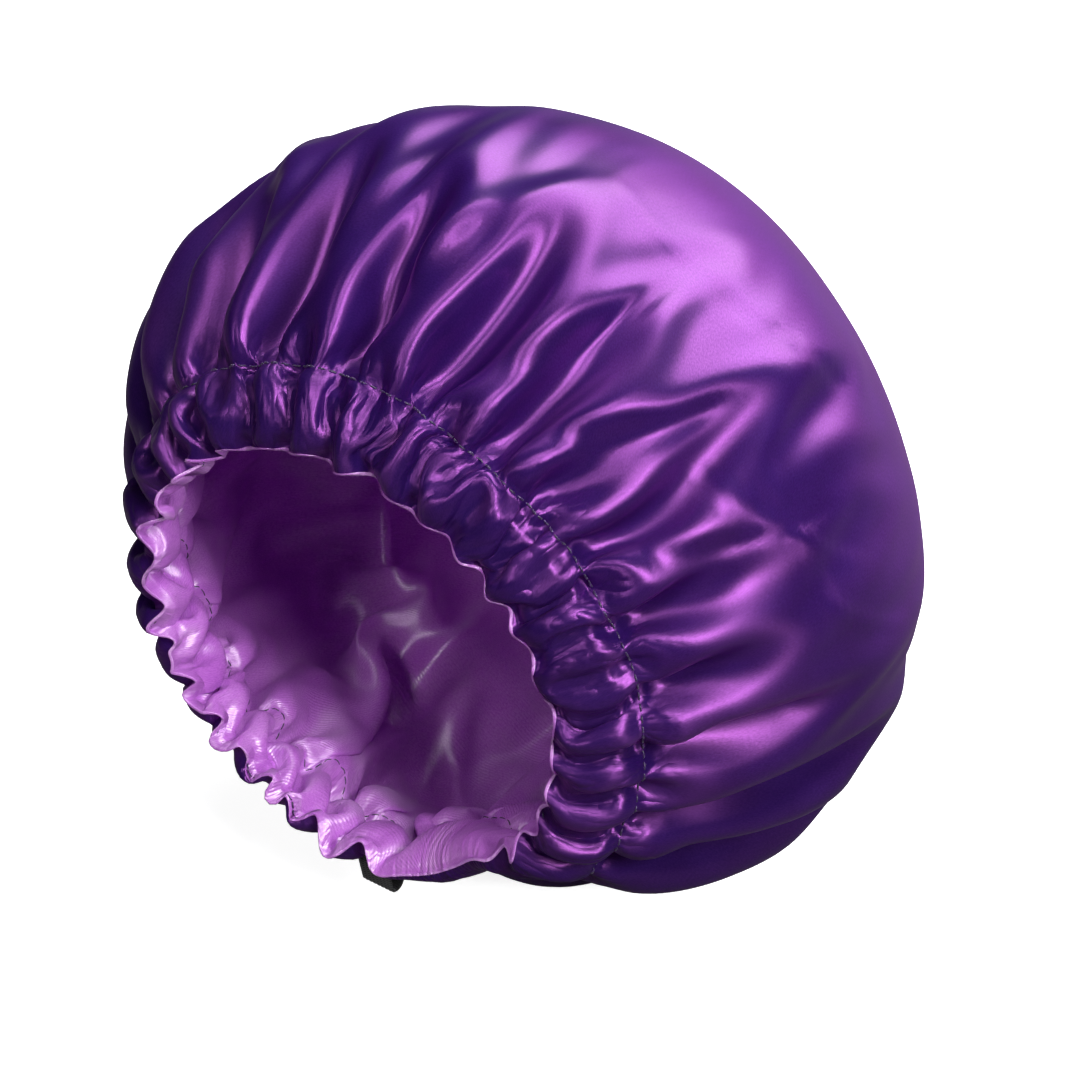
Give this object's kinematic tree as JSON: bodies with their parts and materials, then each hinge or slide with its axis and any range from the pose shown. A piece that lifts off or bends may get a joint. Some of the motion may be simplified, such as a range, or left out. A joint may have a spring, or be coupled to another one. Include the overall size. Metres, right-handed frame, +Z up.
{
  "type": "satin sleep cap",
  "caption": "Round gathered satin sleep cap with a satin lining, an elastic casing round the head opening and a loop of elastic drawn out at the nape.",
  "frame": {"origin": "on the surface that the cap lies on, under the middle of its bounding box", "axes": "+Z up; the cap lies on its nape side with the head opening facing -Y and the crown facing +Y; +X to the right seen from the opening"},
  "size_m": [0.265, 0.2036, 0.2598],
  "materials": {
    "outer_satin": "deep violet satin, high sheen",
    "lining_satin": "lilac satin, soft sheen",
    "elastic": "black ribbed woven elastic, matt",
    "thread": "dark violet sewing thread"
  },
  "bodies": {
    "cap": {"outer_shell": "outer_satin", "lining_shell": "lining_satin", "elastic_band": "elastic", "elastic_join_stitch": "thread", "topstitch_needle_thread": "thread", "topstitch_bobbin_thread": "thread", "edge_seam_thread": "thread", "slot_bar_tack_left": "thread", "slot_bar_tack_right": "thread"},
    "loop": {"pull_loop": "elastic"}
  },
  "joints": [
    {"name": "pull_loop_draw", "type": "slide", "parent": "cap", "child": "loop", "axis": [0, 0.2079, -0.9781], "range_m": [0, 0.018], "stiffness_N_per_m": 60}
  ]
}
